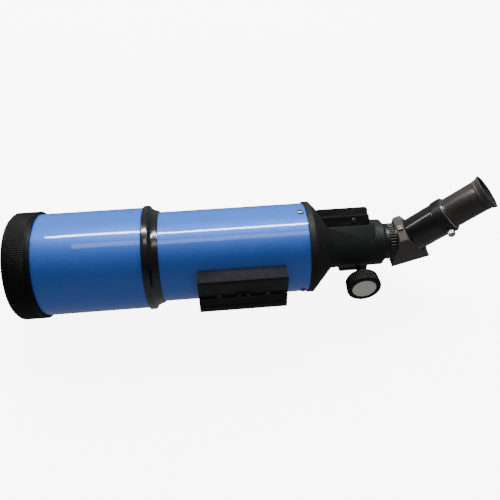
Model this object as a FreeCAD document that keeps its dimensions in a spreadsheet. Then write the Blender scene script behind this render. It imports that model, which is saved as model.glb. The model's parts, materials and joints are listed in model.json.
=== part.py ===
import FreeCAD, Part
import Sketcher
import math
import os
import re

# Short-tube achromatic refractor, 80 mm aperture: optical tube, rack focuser, erecting diagonal and
# eyepiece. +X runs along the optical axis towards the eyepiece, +Z is up, and the origin is the centre
# of the dovetail bar's outer face, where a mount holds the tube. Each piece is drawn round the optical
# axis, and its Placement puts it in the frame.

doc = FreeCAD.newDocument("Refractor")
sheet = doc.addObject("Spreadsheet::Sheet", "Sizes")

# Driving dimensions in millimetres. Stations (names that end in _x) are measured along the optical
# axis from the middle of the dovetail bar.
SIZES = {
    # tube, cell and dew shield
    "axis_offset": 57.5, "tube_radius": 45.0, "tube_wall": 1.0, "tube_front_x": -84.0, "tube_rear_x": 71.0,
    "cell_x": -92.0, "cell_lip": 6.5, "cell_length": 14.8, "lip_radius": 52.3, "cell_rear_radius": 46.3,
    "spigot_radius": 49.0, "spigot_length": 16.0, "seat_radius": 41.1, "seat_depth": 6.0, "clear_radius": 39.6,
    "dew_radius": 50.5, "dew_wall": 1.2, "dew_front_x": -214.0, "fit_gap": 0.3,
    # dust cap and its plug
    "cap_front_x": -218.6, "cap_rear_x": -192.4, "cap_radius": 53.2, "cap_plate": 2.4, "cap_chamfer": 3.4,
    "plug_offset": 24.0, "plug_radius": 19.0, "plug_flange": 21.5, "plug_thickness": 2.0,
    # lenses
    "lens_radius": 40.95, "crown_vertex_x": -101.4, "crown_thickness": 11.0, "crown_front_curve": 240.0,
    "inner_curve": 180.0, "air_gap": 0.4, "flint_thickness": 5.0, "flint_rear_curve": 600.0,
    "ring_thickness": 4.0, "ring_radius": 39.2,
    # baffles
    "front_baffle_x": -42.0, "front_baffle_radius": 35.5, "rear_baffle_x": 12.0, "rear_baffle_radius": 29.0,
    "baffle_rim": 3.0, "baffle_sheet": 0.8,
    # dovetail bar
    "bar_length": 85.0, "bar_half_width": 21.8, "bar_flank": 2.7, "bar_flank_height": 10.0,
    "recess_half_width": 15.0, "recess_depth": 0.8, "channel_half_width": 2.9, "channel_depth": 2.2,
    "bar_screw_pitch": 23.0, "tripod_thread_radius": 2.55, "tripod_thread_depth": 11.0, "boss_radius": 6.5,
    # focuser housing
    "flange_x": 66.4, "flange_radius": 46.4, "flange_length": 6.9, "housing_spigot_x": 54.0,
    "body_x": 93.0, "body_radius": 23.5, "bevel_x": 145.0, "body_rear_x": 148.5, "rim_radius": 19.6,
    "bore_radius": 18.55, "pedestal_x": 86.0, "pedestal_rear_x": 135.5, "pedestal_height": 18.0,
    "shoe_roll": 45.0, "saddle_x": 104.5, "saddle_length": 29.5, "saddle_half_width": 12.0,
    "tube_screw_x": 61.0, "tube_screw_roll": 5.0,
    # finder shoe
    "shoe_x": 80.0, "shoe_rear_x": 130.5, "shoe_half_width": 22.8, "shoe_ledge": 28.2, "shoe_top": 36.5,
    "shoe_floor": 27.0, "shoe_corner": 3.0, "rail_outer": 18.4, "rail_inner": 12.6, "slot_half_width": 15.4,
    "side_screw_x": 115.0, "side_screw_height": 23.0,
    # drawtube, rack and pinion
    "drawtube_x": 17.0, "drawtube_radius": 18.5, "drawtube_bore": 16.5,
    "pinion_x": 123.7, "pinion_depth": 23.6, "gear_teeth": 8, "gear_module": 0.8, "gear_width": 7.0,
    "rack_x": 24.0, "rack_length": 110.0, "rack_half_width": 3.5, "rack_seat": 17.7, "shaft_radius": 2.5,
    "cover_thickness": 4.9,
    # focusing knobs
    "knob_inner": 28.8, "knob_outer": 42.4, "knob_radius": 17.7, "knob_inner_radius": 16.8,
    "inlay_radius": 12.3, "inlay_recess": 1.3, "inlay_thickness": 1.1,
    # eyepiece holder on the drawtube
    "holder_x": 151.5, "holder_rear_x": 160.0, "holder_radius": 18.5, "holder_bore": 15.92,
    "holder_spigot_x": 132.0, "holder_spigot_radius": 16.45,
    # erecting diagonal: a triangular housing whose apex is cut off, in the plane of the two tubes
    "nose_radius": 15.87, "nose_x": 136.0, "nose_bore": 13.6, "diagonal_x": 160.4, "diagonal_roll": 5.7,
    "diagonal_bend": 45.0, "apex_height": 27.5, "housing_side": 52.0, "apex_cut": 9.5,
    "housing_half_width": 16.0, "housing_wall": 2.0, "base_plate": 2.0,
    # output tube, along its own axis from the point where it meets the optical axis
    "output_radius": 17.3, "output_bore": 15.92, "output_end": 42.0, "collar_radius": 18.4,
    "collar_end": 52.6, "barrel_start": 24.0, "flange_thickness": 0.9, "barrel_radius": 15.87,
    "barrel_bore": 14.3, "eyepiece_radius": 15.5, "eyepiece_end": 86.0, "eyecup_end": 93.5,
    "eyecup_radius": 17.7, "collar_screw_station": 47.5,
}

for row, (alias, value) in enumerate(SIZES.items(), start=1):
    sheet.set(f"A{row}", alias)
    sheet.set(f"B{row}", str(value))
    sheet.setAlias(f"B{row}", alias)
doc.recompute()


def size(alias):
    """A driving dimension, read back from the sheet."""
    return float(sheet.get(alias))


def cells(text):
    """Writes each alias in an arithmetic text as a reference to its cell."""
    return re.sub(r"[a-z][a-z_]+", lambda word: "Sizes." + word.group(0), str(text))


parts = []


def keep(piece, label, placement):
    """Names a finished sub-part, places it and puts it on the list of files to write."""
    piece.Label = label
    piece.Placement = placement
    parts.append(piece)
    return piece


# Places. The optical axis lies axis_offset above the bar's outer face, in +Y.
X_AXIS = FreeCAD.Vector(1, 0, 0)
Y_AXIS = FreeCAD.Vector(0, 1, 0)
Z_AXIS = FreeCAD.Vector(0, 0, 1)


def shift(along=0.0, across=0.0, height=0.0):
    """A move without a turn."""
    return FreeCAD.Placement(FreeCAD.Vector(along, across, height), FreeCAD.Rotation())


def turn(axis, degrees):
    """A turn about an axis through the local origin."""
    return FreeCAD.Placement(FreeCAD.Vector(0, 0, 0), FreeCAD.Rotation(axis, degrees))


optical = shift(across=size("axis_offset"))
diagonal = optical * turn(X_AXIS, size("diagonal_roll")) * shift(along=size("diagonal_x"))
corner_run = size("apex_height") * math.tan(math.radians(size("diagonal_bend") / 2))
output = diagonal * shift(along=corner_run) * turn(Y_AXIS, -size("diagonal_bend"))
pinion = optical * shift(along=size("pinion_x"), height=-size("pinion_depth"))


# Sketches. An outline is a list of corners, each corner two arithmetic texts over the sheet's aliases.
def sketch_on(body, plane, offset="0", roll=0.0, tilt=0.0):
    """Attaches an empty sketch to one of the body's origin planes, rolled in it or tilted about X."""
    sketch = body.newObject("Sketcher::SketchObject", body.Name + "_sketch")
    for feature in body.Origin.OriginFeatures:
        if feature.Role == plane:
            sketch.AttachmentSupport = [(feature, "")]
    sketch.MapMode = "FlatFace"
    sketch.AttachmentOffset = turn(X_AXIS, tilt) * turn(Z_AXIS, roll)
    normal = turn(X_AXIS, tilt).multVec(Z_AXIS)
    sketch.setExpression(".AttachmentOffset.Base.y", cells(f"({offset}) * {normal.y:.9f}"))
    sketch.setExpression(".AttachmentOffset.Base.z", cells(f"({offset}) * {normal.z:.9f}"))
    return sketch


def bind_point(sketch, geometry, point, across, up):
    """Ties one point of a sketch to two arithmetic texts, measured from the sketch's origin."""
    place = sketch.getPoint(geometry, point)
    for kind, start, text in (("DistanceX", place.x, across), ("DistanceY", place.y, up)):
        index = sketch.addConstraint(Sketcher.Constraint(kind, -1, 1, geometry, point, start))
        sketch.setExpression(f"Constraints[{index}]", cells(text))


def draw_outline(sketch, outline):
    """Draws a closed outline of straight edges, every corner bound to the sheet."""
    count = len(outline)
    start = [FreeCAD.Vector(10 + 9 * math.cos(2 * math.pi * i / count), 10 + 9 * math.sin(2 * math.pi * i / count), 0)
             for i in range(count)]
    for i in range(count):
        sketch.addGeometry(Part.LineSegment(start[i], start[(i + 1) % count]), False)
    for i in range(count):
        sketch.addConstraint(Sketcher.Constraint("Coincident", i, 2, (i + 1) % count, 1))
    for i, (across, up) in enumerate(outline):
        bind_point(sketch, i, 1, across, up)


def draw_circles(sketch, centres, radius):
    """Draws equal circles, their centres and radius bound to the sheet."""
    for across, up in centres:
        index = sketch.addGeometry(Part.Circle(FreeCAD.Vector(5, 5, 0), Z_AXIS, 1), False)
        bind_point(sketch, index, 3, across, up)
        radius_index = sketch.addConstraint(Sketcher.Constraint("Radius", index, 1))
        sketch.setExpression(f"Constraints[{radius_index}]", cells(radius))


def new_body(name):
    """An empty PartDesign body."""
    return doc.addObject("PartDesign::Body", name)


def checked(body, feature, adds):
    """Recomputes a feature and makes sure that it added or removed material."""
    before = 0.0 if body.Shape.isNull() else body.Shape.Volume
    doc.recompute()
    after = body.Shape.Volume
    if (adds and after <= before) or (not adds and after >= before):
        raise RuntimeError(f"{body.Name}: {feature.Name} changed the volume from {before:.1f} to {after:.1f}")
    return feature


def revolve(body, outline, adds=True):
    """Turns an outline of (station, radius) corners about the X axis, to add or to cut."""
    sketch = sketch_on(body, "XZ_Plane")
    draw_outline(sketch, outline)
    kind = "PartDesign::Revolution" if adds else "PartDesign::Groove"
    feature = body.newObject(kind, body.Name + "_turned")
    feature.Profile = sketch
    feature.ReferenceAxis = (sketch, ["H_Axis"])
    feature.Angle = 360
    return checked(body, feature, adds)


def extrude(body, plane, start, length, outline=None, circles=None, adds=True, roll=0.0, tilt=0.0):
    """Pads or pockets an outline or circles along the plane's normal, from start over length."""
    sketch = sketch_on(body, plane, start, roll, tilt)
    if outline:
        draw_outline(sketch, outline)
    if circles:
        draw_circles(sketch, *circles)
    feature = body.newObject("PartDesign::Pad" if adds else "PartDesign::Pocket", body.Name + "_straight")
    feature.Profile = sketch
    feature.setExpression("Length", cells(length))
    feature.Reversed = not adds
    return checked(body, feature, adds)


def rectangle(low_across, low_up, high_across, high_up):
    """The four corners of a rectangle."""
    return [(low_across, low_up), (high_across, low_up), (high_across, high_up), (low_across, high_up)]


def repeat_round(body, count):
    """Repeats the body's last feature evenly round the X axis."""
    pattern = body.newObject("PartDesign::PolarPattern", body.Name + "_round")
    pattern.Originals = [body.Tip]
    for feature in body.Origin.OriginFeatures:
        if feature.Role == "X_Axis":
            pattern.Axis = (feature, [""])
    pattern.Angle = 360
    pattern.Occurrences = count
    body.Tip = pattern
    return checked(body, pattern, False)


def turned(label, outline, placement):
    """A piece turned in one go from its outline."""
    body = new_body(label)
    revolve(body, outline)
    return keep(body, label, placement)


def tube_outline(front, rear, outer, inner):
    """The outline of a plain tube."""
    return rectangle(front, inner, rear, outer)


def primitive(kind, name, **sizes):
    """A Part primitive whose properties are bound to the sheet."""
    item = doc.addObject(kind, name)
    for prop, text in sizes.items():
        item.setExpression(prop, cells(text))
    return item


def boolean(kind, name, base, tool):
    """A Part boolean of two objects."""
    item = doc.addObject(kind, name)
    item.Base = base
    item.Tool = tool
    return item


def group(label, items, placement):
    """Several equal solids that share one node."""
    compound = doc.addObject("Part::Compound", label)
    compound.Links = items
    return keep(compound, label, placement)


def screw(name, head_radius, head_height, shank_radius, shank_length, place):
    """A slotted cheese-head screw: its head stands on the local XY plane and its shank points to -Z."""
    head = primitive("Part::Cylinder", name + "_head", Radius=head_radius, Height=head_height)
    shank = primitive("Part::Cylinder", name + "_shank", Radius=shank_radius, Height=shank_length + 0.2)
    shank.Placement = shift(height=-shank_length)
    slot = primitive("Part::Box", name + "_slot", Length=head_radius * 2.4, Width=head_radius * 0.3,
                     Height=head_height)
    slot.Placement = shift(-head_radius * 1.2, -head_radius * 0.15, head_height * 0.55)
    whole = boolean("Part::Fuse", name + "_whole", head, shank)
    slotted = boolean("Part::Cut", name + "_slotted", whole, slot)
    slotted.Placement = place
    return slotted


def thumbscrew(label, reach, stem_length, place, head_radius=3.6, head_length=5.0, stem_radius=1.9):
    """A knurled thumbscrew turned about its own X axis, whose stem starts reach inside its seat."""
    stem_end = stem_length - reach
    outline = [(-reach, 0), (stem_end + head_length, 0), (stem_end + head_length, head_radius - 0.5),
               (stem_end + head_length - 0.5, head_radius), (stem_end, head_radius), (stem_end, stem_radius),
               (-reach, stem_radius)]
    return turned(label, outline, place)


# ---------------------------------------------------------------- dust cap, plug and dew shield
cap = new_body("dust_cap")
revolve(cap, [
    ("cap_front_x", 0), ("cap_front_x + cap_plate", 0),
    ("cap_front_x + cap_plate", "dew_radius + fit_gap"), ("cap_rear_x", "dew_radius + fit_gap"),
    ("cap_rear_x", "cap_radius"), ("cap_front_x + cap_chamfer", "cap_radius"),
    ("cap_front_x", "cap_radius - cap_chamfer"),
])
extrude(cap, "YZ_Plane", "cap_front_x - 1", "cap_plate + 2",
        circles=([(0, "plug_offset")], "plug_radius + 0.05"), adds=False)
keep(cap, "dust_cap", optical)

turned("aperture_plug", [
    ("-plug_thickness", 0), ("cap_plate + 2", 0), ("cap_plate + 2", "plug_radius - 2"),
    ("cap_plate - 0.4", "plug_radius"), (0, "plug_radius"), (0, "plug_flange"),
    ("-plug_thickness + 0.7", "plug_flange"), ("-plug_thickness", "plug_flange - 0.7"),
], optical * shift(along=size("cap_front_x") - 0.02, height=size("plug_offset")))

turned("dew_shield", tube_outline("dew_front_x", "cell_x - fit_gap", "dew_radius", "dew_radius - dew_wall"), optical)

# ---------------------------------------------------------------- objective cell and doublet
turned("objective_cell", [
    ("cell_x - spigot_length", "seat_radius"), ("cell_x - spigot_length", "spigot_radius"),
    ("cell_x", "spigot_radius"), ("cell_x", "lip_radius - 0.6"), ("cell_x + 0.8", "lip_radius"),
    ("cell_x + cell_lip - 0.8", "lip_radius"), ("cell_x + cell_lip", "lip_radius - 0.8"),
    ("cell_x + cell_lip + 0.9", "lip_radius - 2.6"), ("cell_x + cell_lip + 2.6", "lip_radius - 3.9"),
    ("cell_x + cell_lip + 5", "lip_radius - 5"), ("cell_x + cell_length", "cell_rear_radius"),
    ("cell_x + cell_length", "tube_radius + 0.1"), ("tube_front_x", "tube_radius + 0.1"),
    ("tube_front_x", "tube_radius - tube_wall - 0.1"),
    ("cell_x + cell_length + 10", "tube_radius - tube_wall - 0.1"), ("cell_x + cell_length + 10", 42),
    ("cell_x + seat_depth + 4", 42), ("cell_x + seat_depth + 3", "clear_radius"),
    ("cell_x + seat_depth", "clear_radius"), ("cell_x + seat_depth", "seat_radius"),
], optical)


def lens_blank(name, front, thickness):
    """A glass disc of the lenses' diameter, its axis along X."""
    disc = primitive("Part::Cylinder", name, Radius="lens_radius", Height=thickness)
    disc.Placement = shift(along=front) * turn(Y_AXIS, 90)
    return disc


def curve_ball(name, radius, centre_x):
    """The sphere that a polished surface belongs to."""
    ball = primitive("Part::Sphere", name, Radius=radius)
    ball.Placement = shift(along=centre_x) * turn(Y_AXIS, 90)
    return ball


crown_front = size("crown_vertex_x")
crown_rear = crown_front + size("crown_thickness")
flint_front = crown_rear + size("air_gap")
flint_rear = flint_front + size("flint_thickness")
edge_room = 6.0

crown_blank = lens_blank("crown_blank", crown_front, "crown_thickness")
crown_ball = curve_ball("crown_front_ball", "crown_front_curve", crown_front + size("crown_front_curve"))
crown_rear_ball = curve_ball("crown_rear_ball", "inner_curve", crown_rear - size("inner_curve"))
crown_half = boolean("Part::Common", "crown_half", crown_blank, crown_ball)
keep(boolean("Part::Common", "crown_lens", crown_half, crown_rear_ball), "crown_lens", optical)

flint_blank = lens_blank("flint_blank", flint_front - edge_room, f"flint_thickness + {edge_room}")
flint_front_ball = curve_ball("flint_front_ball", "inner_curve", flint_front - size("inner_curve"))
flint_rear_ball = curve_ball("flint_rear_ball", "flint_rear_curve", flint_rear - size("flint_rear_curve"))
flint_half = boolean("Part::Common", "flint_half", flint_blank, flint_rear_ball)
keep(boolean("Part::Cut", "flint_lens", flint_half, flint_front_ball), "flint_lens", optical)

spacer_ring = new_body("spacer_ring")
revolve(spacer_ring, tube_outline(f"{crown_rear - edge_room}", f"{crown_rear}", "lens_radius - 0.1", "lens_radius - 1.6"))
spacer_outer = curve_ball("spacer_outer_ball", "inner_curve", flint_front - size("inner_curve"))
spacer_inner = curve_ball("spacer_inner_ball", "inner_curve", crown_rear - size("inner_curve"))
spacer_half = boolean("Part::Common", "spacer_half", spacer_ring, spacer_outer)
keep(boolean("Part::Cut", "lens_spacer", spacer_half, spacer_inner), "lens_spacer", optical)

crown_sag = size("crown_front_curve") - math.sqrt(size("crown_front_curve") ** 2 - size("ring_radius") ** 2)
ring_rear = crown_front + crown_sag - 0.05
turned("lens_retaining_ring", tube_outline(f"{ring_rear} - ring_thickness", f"{ring_rear}",
                                           "seat_radius - 0.05", "ring_radius"), optical)

# ---------------------------------------------------------------- main tube and baffles
def drill_round(body, station, roll, radius, count=3):
    """Drills radial holes through the wall, evenly round the optical axis."""
    extrude(body, "XY_Plane", 0, "tube_radius + 5", circles=([(station, 0)], radius), adds=False, tilt=-roll)
    repeat_round(body, count)


main_tube = new_body("main_tube")
revolve(main_tube, tube_outline("tube_front_x", "tube_rear_x", "tube_radius", "tube_radius - tube_wall"))
drill_round(main_tube, "tube_screw_x", size("tube_screw_roll"), 2.0)
extrude(main_tube, "XZ_Plane", 0, "tube_radius + 5",
        circles=([("bar_screw_pitch", 0), ("-bar_screw_pitch", 0)], 2.6), adds=False)
keep(main_tube, "main_tube", optical)

for label, station, aperture in (("front_baffle", "front_baffle_x", "front_baffle_radius"),
                                 ("rear_baffle", "rear_baffle_x", "rear_baffle_radius")):
    turned(label, [
        (station, aperture), (f"{station} + baffle_sheet", aperture),
        (f"{station} + baffle_sheet", "tube_radius - tube_wall - 0.05 - baffle_sheet"),
        (f"{station} + baffle_rim", "tube_radius - tube_wall - 0.05 - baffle_sheet"),
        (f"{station} + baffle_rim", "tube_radius - tube_wall - 0.05"),
        (station, "tube_radius - tube_wall - 0.05"),
    ], optical)

# ---------------------------------------------------------------- dovetail bar and its fasteners
# The bar's section is drawn in the YZ plane: its outer face is at -axis_offset, its back rests on the tube.
bar = new_body("dovetail_bar")
extrude(bar, "YZ_Plane", "-bar_length / 2", "bar_length", [
    ("-axis_offset", "-bar_half_width"), ("-axis_offset", "bar_half_width"),
    ("-axis_offset + bar_flank_height", "bar_half_width - bar_flank"), (-36, "bar_half_width - bar_flank"),
    (-36, "-(bar_half_width - bar_flank)"), ("-axis_offset + bar_flank_height", "-(bar_half_width - bar_flank)"),
])
revolve(bar, rectangle("-bar_length", 0, "bar_length", "tube_radius + 0.04"), adds=False)
for side in ("", "-"):
    extrude(bar, "YZ_Plane", "-bar_length", "2 * bar_length",
            rectangle("-axis_offset - 1", f"{side}channel_half_width", "-axis_offset + recess_depth",
                      f"{side}recess_half_width"), adds=False)
for side in ("", "-"):
    extrude(bar, "XZ_Plane", "axis_offset - channel_depth", "channel_depth + 1",
            rectangle(f"{side}boss_radius", "-channel_half_width", f"{side}bar_length", "channel_half_width"),
            adds=False)
extrude(bar, "XZ_Plane", "axis_offset - tripod_thread_depth", "tripod_thread_depth + 1",
        circles=([(0, 0)], "tripod_thread_radius"), adds=False)
extrude(bar, "XZ_Plane", "36", "25", circles=([("bar_screw_pitch", 0), ("-bar_screw_pitch", 0)], 2.1), adds=False)
keep(bar, "dovetail_bar", optical)

bar_screw_seat = size("axis_offset") - size("channel_depth")
bar_screws = []
bar_nuts = []
for index, side in enumerate((-1, 1)):
    spot = shift(along=side * size("bar_screw_pitch"))
    bar_screws.append(screw(f"bar_screw_{index}", 2.6, 1.7, 2.0, 15.5, spot
                            * shift(across=-bar_screw_seat) * turn(X_AXIS, 90)))
    nut = primitive("Part::Prism", f"bar_nut_{index}", Circumradius=4.0, Height=3.0)
    nut.Polygon = 6
    nut.Placement = spot * shift(across=-(size("tube_radius") - size("tube_wall") - 0.6)) * turn(X_AXIS, -90)
    nut_hole = primitive("Part::Cylinder", f"bar_nut_hole_{index}", Radius=2.0, Height=3.0)
    nut_hole.Placement = nut.Placement
    bar_nuts.append(boolean("Part::Cut", f"bar_nut_bored_{index}", nut, nut_hole))
group("dovetail_screws", bar_screws, optical)
group("dovetail_nuts", bar_nuts, optical)

# ---------------------------------------------------------------- focuser housing
# One moulding: flange, cone, round body, the pedestal that carries the finder shoe, and the saddle
# that carries the pinion.
housing = new_body("focuser_housing")
revolve(housing, [
    ("housing_spigot_x", 0), ("housing_spigot_x", "tube_radius - tube_wall - 0.1"),
    ("tube_rear_x + 0.2", "tube_radius - tube_wall - 0.1"), ("tube_rear_x + 0.2", "tube_radius + 0.1"),
    ("flange_x", "tube_radius + 0.1"), ("flange_x", "flange_radius - 0.5"), ("flange_x + 0.6", "flange_radius"),
    ("flange_x + flange_length - 1", "flange_radius"), ("flange_x + flange_length", "flange_radius - 1"),
    ("body_x", "body_radius"), ("bevel_x", "body_radius"), ("body_rear_x", "rim_radius"), ("body_rear_x", 0),
])
shoe_roll = -size("shoe_roll")
extrude(housing, "YZ_Plane", "pedestal_x", "pedestal_rear_x - pedestal_x",
        rectangle("-body_radius", 0, "body_radius", "pedestal_height"), roll=shoe_roll)
extrude(housing, "YZ_Plane", "saddle_x", "saddle_length",
        rectangle("-saddle_half_width", "-pinion_depth", "saddle_half_width", "-body_radius / 2"))
revolve(housing, [
    ("housing_spigot_x - 1", 0), ("housing_spigot_x - 1", 42), ("flange_x + flange_length", 42),
    ("body_x - 1", 21), ("body_x + 3", "bore_radius"), ("body_rear_x + 1", "bore_radius"), ("body_rear_x + 1", 0),
], adds=False)
extrude(housing, "YZ_Plane", "body_x - 4", "70",
        rectangle(-3.9, -21.5, 3.9, -17), adds=False)
extrude(housing, "XZ_Plane", -4.2, 8.4, circles=([("pinion_x", "-pinion_depth")], 5.2), adds=False)
extrude(housing, "XZ_Plane", -15, 30, circles=([("pinion_x", "-pinion_depth")], "shaft_radius + 0.05"),
        adds=False)
cover_screw_spots = [(x, y) for x in ("saddle_x + 3.5", "saddle_x + saddle_length - 3.5") for y in (-8.6, 8.6)]
extrude(housing, "XY_Plane", "-pinion_depth - 1", 6.5, circles=(cover_screw_spots, 1.25), adds=False)
shoe_screw_spots = ("shoe_x + 16", "shoe_rear_x - 10")
extrude(housing, "XY_Plane", 0, 40, circles=([(x, 0) for x in shoe_screw_spots], 1.25), adds=False,
        tilt=shoe_roll)
drill_round(housing, "tube_screw_x", size("tube_screw_roll"), 1.25)
keep(housing, "focuser_housing", optical)

tube_screws = []
for index in range(3):
    radial = turn(X_AXIS, -size("tube_screw_roll") + 120 * index)
    seat = shift(along=size("tube_screw_x"), height=size("tube_radius") + 0.1)
    tube_screws.append(screw(f"tube_screw_{index}", 3.0, 1.6, 1.2, 5.0, radial * seat))
group("tube_screws", tube_screws, optical)

# ---------------------------------------------------------------- finder shoe
shoe = new_body("finder_shoe")
shoe_section = [
    ("shoe_half_width", "pedestal_height + 0.02"), ("shoe_half_width", "shoe_ledge - 0.6"),
    ("shoe_half_width - 0.6", "shoe_ledge"), ("rail_outer", "shoe_ledge + 0.4"),
    ("rail_outer - 0.8", "shoe_top - 0.4"), ("rail_outer - 1.4", "shoe_top"), ("rail_inner", "shoe_top"),
    ("slot_half_width", "shoe_floor"),
]
mirrored = [(f"-({across})", up) for across, up in reversed(shoe_section)]
extrude(shoe, "YZ_Plane", "shoe_x", "shoe_rear_x - shoe_x", shoe_section + mirrored, roll=shoe_roll)
revolve(shoe, [
    ("housing_spigot_x", 0), ("housing_spigot_x", "flange_radius + 0.05"),
    ("flange_x + flange_length", "flange_radius - 0.95"), ("body_x", "body_radius + 0.05"),
    ("body_rear_x", "body_radius + 0.05"), ("body_rear_x", 0),
], adds=False)
extrude(shoe, "XY_Plane", 0, 40, circles=([(x, 0) for x in shoe_screw_spots], 1.7), adds=False, tilt=shoe_roll)
extrude(shoe, "XY_Plane", 14, 16, circles=([("side_screw_x", "side_screw_height")], 2.05), adds=False,
        tilt=shoe_roll + 90)
corner_arc = [(f"shoe_rear_x - shoe_corner * {1 - math.cos(math.radians(step)):.5f}",
               f"shoe_top - shoe_corner * {1 - math.sin(math.radians(step)):.5f}") for step in range(0, 91, 15)]
extrude(shoe, "XZ_Plane", -24, 48, corner_arc + [
    ("shoe_rear_x - shoe_corner", "shoe_top + 1"), ("shoe_rear_x + 1", "shoe_top + 1"),
    ("shoe_rear_x + 1", "shoe_top - shoe_corner")], adds=False, tilt=shoe_roll)
keep(shoe, "finder_shoe", optical)

shoe_screws = []
for index, station in enumerate((size("shoe_x") + 16, size("shoe_rear_x") - 10)):
    seat = turn(X_AXIS, shoe_roll) * shift(along=station, height=size("shoe_floor") + 0.02)
    shoe_screws.append(screw(f"shoe_screw_{index}", 2.8, 1.6, 1.2, 7.2, seat))
group("shoe_screws", shoe_screws, optical)

side_screw_seat = optical * turn(X_AXIS, shoe_roll) * shift(
    along=size("side_screw_x"), across=-size("shoe_half_width"), height=size("side_screw_height"))
turned("shoe_side_screw", [
    (-3.5, 0), (1.4, 0), (1.4, 1.7), (1.0, 2.3), (0.1, 2.3), (0.1, 2.0), (-3.5, 2.0),
], side_screw_seat * turn(Z_AXIS, -90))

# ---------------------------------------------------------------- drawtube, rack and pinion
drawtube = new_body("drawtube")
revolve(drawtube, tube_outline("drawtube_x", "holder_x - 0.1", "drawtube_radius", "drawtube_bore"))
extrude(drawtube, "YZ_Plane", "rack_x", "rack_length + 1",
        rectangle("-rack_half_width - 0.05", "-drawtube_radius - 1", "rack_half_width + 0.05", "-rack_seat"),
        adds=False)
keep(drawtube, "drawtube", optical)

MODULE = size("gear_module")
TEETH = int(size("gear_teeth"))
PRESSURE = math.radians(25)
ADDENDUM = 0.7 * MODULE
DEDENDUM = 1.0 * MODULE
BACKLASH = 0.14
pitch = math.pi * MODULE
pitch_radius = MODULE * TEETH / 2
pitch_line = size("pinion_depth") - pitch_radius


def upright_slab(profile, half_width):
    """A solid of an (x, z) profile, half_width each side of the XZ plane."""
    corners = [FreeCAD.Vector(x, -half_width, z) for x, z in profile]
    return Part.Face(Part.makePolygon(corners + corners[:1])).extrude(FreeCAD.Vector(0, 2 * half_width, 0))


def tooth_row(length, width, back):
    """A straight rack: teeth along X that point to -Z, their pitch line at -pitch_line."""
    slope = math.tan(PRESSURE)
    half = pitch / 4 - BACKLASH / 2
    tip, root = -(pitch_line + ADDENDUM), -(pitch_line - DEDENDUM)
    half_tip, half_root = half - ADDENDUM * slope, half + DEDENDUM * slope
    profile = [(0, back), (0, root)]
    for tooth in range(int(length / pitch)):
        middle = (tooth + 0.5) * pitch
        profile += [(middle - half_root, root), (middle - half_tip, tip), (middle + half_tip, tip),
                    (middle + half_root, root)]
    profile += [(length, root), (length, back)]
    return upright_slab(profile, width / 2)


def involute(base, radius, angle):
    """A point of the involute of a base circle, turned back by an angle."""
    roll_angle = math.sqrt(max((radius / base) ** 2 - 1, 0))
    place = roll_angle - math.atan(roll_angle) - angle
    return FreeCAD.Vector(radius * math.sin(place), 0, radius * math.cos(place))


def gear(width, bore):
    """An involute pinion about the Y axis, one gap straight up, where the rack's tooth lies."""
    base = pitch_radius * math.cos(PRESSURE)
    tip, root = pitch_radius + ADDENDUM, pitch_radius - DEDENDUM
    half_at_pitch = math.pi / (2 * TEETH) - BACKLASH / (2 * pitch_radius)
    half_at_base = half_at_pitch + math.tan(PRESSURE) - PRESSURE
    flank = [involute(base, base + (tip - base) * step / 6, half_at_base) for step in range(7)]
    corners = []
    for tooth in range(TEETH):
        spin = math.degrees(2 * math.pi * (tooth + 0.5) / TEETH)
        left = [turn(Y_AXIS, spin).multVec(point) for point in flank]
        right = [turn(Y_AXIS, spin).multVec(FreeCAD.Vector(-point.x, 0, point.z)) for point in reversed(flank)]
        foot = root / base
        corners += [left[0] * foot] + left + right + [right[-1] * foot]
    solid = upright_slab([(corner.x, corner.z) for corner in corners], width / 2)
    shaft_hole = Part.makeCylinder(bore, width + 2, FreeCAD.Vector(0, -width / 2 - 1, 0), Y_AXIS)
    return solid.cut(shaft_hole)


rack = doc.addObject("Part::Feature", "drawtube_rack")
rack.Shape = tooth_row(size("rack_length"), 2 * size("rack_half_width"), -size("rack_seat") - 0.02)
rack_teeth_to_pinion = (size("pinion_x") - size("rack_x")) / pitch
rack_start = size("pinion_x") - (round(rack_teeth_to_pinion - 0.5) + 0.5) * pitch
keep(rack, "drawtube_rack", optical * shift(along=rack_start))

pinion_gear = doc.addObject("Part::Feature", "pinion_gear")
pinion_gear.Shape = gear(size("gear_width"), size("shaft_radius") - 0.6)
keep(pinion_gear, "pinion_gear", pinion)

# The shaft is necked where the gear is pressed on.
turned("pinion_shaft", [
    ("-knob_inner - 6", 0), ("knob_inner + 6", 0), ("knob_inner + 6", "shaft_radius"),
    ("gear_width / 2 + 0.1", "shaft_radius"), ("gear_width / 2 + 0.1", "shaft_radius - 0.62"),
    ("-gear_width / 2 - 0.1", "shaft_radius - 0.62"), ("-gear_width / 2 - 0.1", "shaft_radius"),
    ("-knob_inner - 6", "shaft_radius"),
], pinion * turn(Z_AXIS, -90))

cover = new_body("pinion_cover")
extrude(cover, "YZ_Plane", "saddle_x", "saddle_length",
        rectangle("-saddle_half_width", "-pinion_depth - cover_thickness",
                  "saddle_half_width", "-pinion_depth - 0.02"))
extrude(cover, "XZ_Plane", -15, 30, circles=([("pinion_x", "-pinion_depth")], "shaft_radius + 0.05"), adds=False)
extrude(cover, "XZ_Plane", -4.2, 8.4, circles=([("pinion_x", "-pinion_depth + 1")], 5.2), adds=False)
extrude(cover, "XY_Plane", "-pinion_depth - 6", 8, circles=(cover_screw_spots, 1.7), adds=False)
keep(cover, "pinion_cover", optical)

cover_screws = []
cover_base = size("pinion_depth") + size("cover_thickness") + 0.02
for index, (along, across) in enumerate([(along, across) for along in (3.5, size("saddle_length") - 3.5)
                                         for across in (-8.6, 8.6)]):
    seat = shift(size("saddle_x") + along, across, -cover_base) * turn(X_AXIS, 180)
    cover_screws.append(screw(f"cover_screw_{index}", 2.5, 1.5, 1.2, 8.5, seat))
group("cover_screws", cover_screws, optical)

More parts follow.
